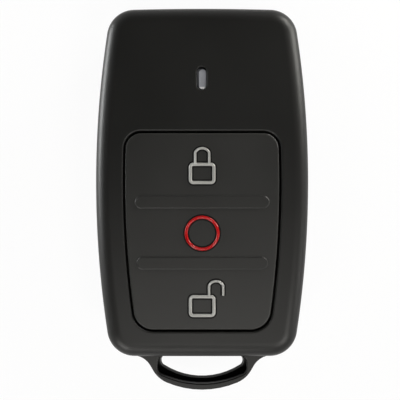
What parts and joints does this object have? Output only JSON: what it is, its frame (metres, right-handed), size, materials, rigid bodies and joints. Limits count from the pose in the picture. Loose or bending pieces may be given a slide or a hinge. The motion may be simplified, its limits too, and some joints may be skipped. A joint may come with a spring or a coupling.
{
  "type": "alarm key fob",
  "caption": "Pocket remote for an alarm: a soft pad of press areas marked lock, panic ring and unlock, a lamp window, and a key-ring loop at the lower end.",
  "frame": {"origin": "middle of the whole outline, on the plane of the rear face", "axes": "+Z out of the front face, +Y towards the lamp end, -Y towards the key-ring loop, +X to the right seen from the front"},
  "size_m": [0.0378, 0.0686, 0.0132],
  "materials": {
    "case_plastic": "fine spark texture, dark warm grey",
    "pad_rubber": "satin silicone, slightly lighter than the case",
    "symbol_grey": "raised light grey inlay",
    "ring_red": "raised glossy red inlay",
    "lamp_lens": "frosted clear rod",
    "lamp_package": "white lamp package with a clear dome",
    "board_laminate": "green solder mask",
    "cell_steel": "satin steel can",
    "holder_plastic": "black moulding",
    "contact_metal": "tinned sheet brass",
    "chip_epoxy": "black epoxy",
    "crystal_can": "plated lid on a ceramic tray",
    "passive_ceramic": "fired ceramic chips",
    "switch_plastic": "black moulding",
    "dome_steel": "snap dome sheet",
    "plunger_plastic": "smooth dark moulding",
    "cover_steel": "stamped sheet",
    "screw_steel": "zinc plated"
  },
  "bodies": {
    "fob": {"front_shell": "case_plastic", "rear_shell": "case_plastic", "keypad_web": "pad_rubber", "light_pipe": "lamp_lens", "status_led": "lamp_package", "circuit_board": "board_laminate", "coin_battery": "cell_steel", "battery_holder": "holder_plastic", "battery_clip": "contact_metal", "negative_contact": "contact_metal", "microcontroller": "chip_epoxy", "radio_chip": "chip_epoxy", "crystal": "crystal_can", "chip_passives": "passive_ceramic", "antenna_strip": "contact_metal", "case_screws": "screw_steel", "lock_switch_base": "switch_plastic", "lock_switch_terminals": "contact_metal", "lock_switch_dome": "dome_steel", "lock_switch_cover": "cover_steel", "panic_switch_base": "switch_plastic", "panic_switch_terminals": "contact_metal", "panic_switch_dome": "dome_steel", "panic_switch_cover": "cover_steel", "unlock_switch_base": "switch_plastic", "unlock_switch_terminals": "contact_metal", "unlock_switch_dome": "dome_steel", "unlock_switch_cover": "cover_steel"},
    "lock_button": {"lock_key": "pad_rubber", "lock_symbol": "symbol_grey"},
    "lock_plunger": {"lock_switch_plunger": "plunger_plastic"},
    "panic_button": {"panic_key": "pad_rubber", "panic_ring": "ring_red"},
    "panic_plunger": {"panic_switch_plunger": "plunger_plastic"},
    "unlock_button": {"unlock_key": "pad_rubber", "unlock_symbol": "symbol_grey"},
    "unlock_plunger": {"unlock_switch_plunger": "plunger_plastic"}
  },
  "joints": [
    {"name": "lock_press", "type": "slide", "parent": "fob", "child": "lock_button", "axis": [0, 0, -1], "range_m": [0, 0.0003], "stiffness_N_per_m": 2500},
    {"name": "lock_plunger_press", "type": "slide", "parent": "fob", "child": "lock_plunger", "axis": [0, 0, -1], "range_m": [0, 0.0003], "deforming": ["lock_switch_dome"]},
    {"name": "panic_press", "type": "slide", "parent": "fob", "child": "panic_button", "axis": [0, 0, -1], "range_m": [0, 0.0003], "stiffness_N_per_m": 2500},
    {"name": "panic_plunger_press", "type": "slide", "parent": "fob", "child": "panic_plunger", "axis": [0, 0, -1], "range_m": [0, 0.0003], "deforming": ["panic_switch_dome"]},
    {"name": "unlock_press", "type": "slide", "parent": "fob", "child": "unlock_button", "axis": [0, 0, -1], "range_m": [0, 0.0003], "stiffness_N_per_m": 2500},
    {"name": "unlock_plunger_press", "type": "slide", "parent": "fob", "child": "unlock_plunger", "axis": [0, 0, -1], "range_m": [0, 0.0003], "deforming": ["unlock_switch_dome"]}
  ],
  "couplings": [
    {"joint": "lock_plunger_press", "follows": "lock_press", "ratio": 1},
    {"joint": "panic_plunger_press", "follows": "panic_press", "ratio": 1},
    {"joint": "unlock_plunger_press", "follows": "unlock_press", "ratio": 1}
  ]
}
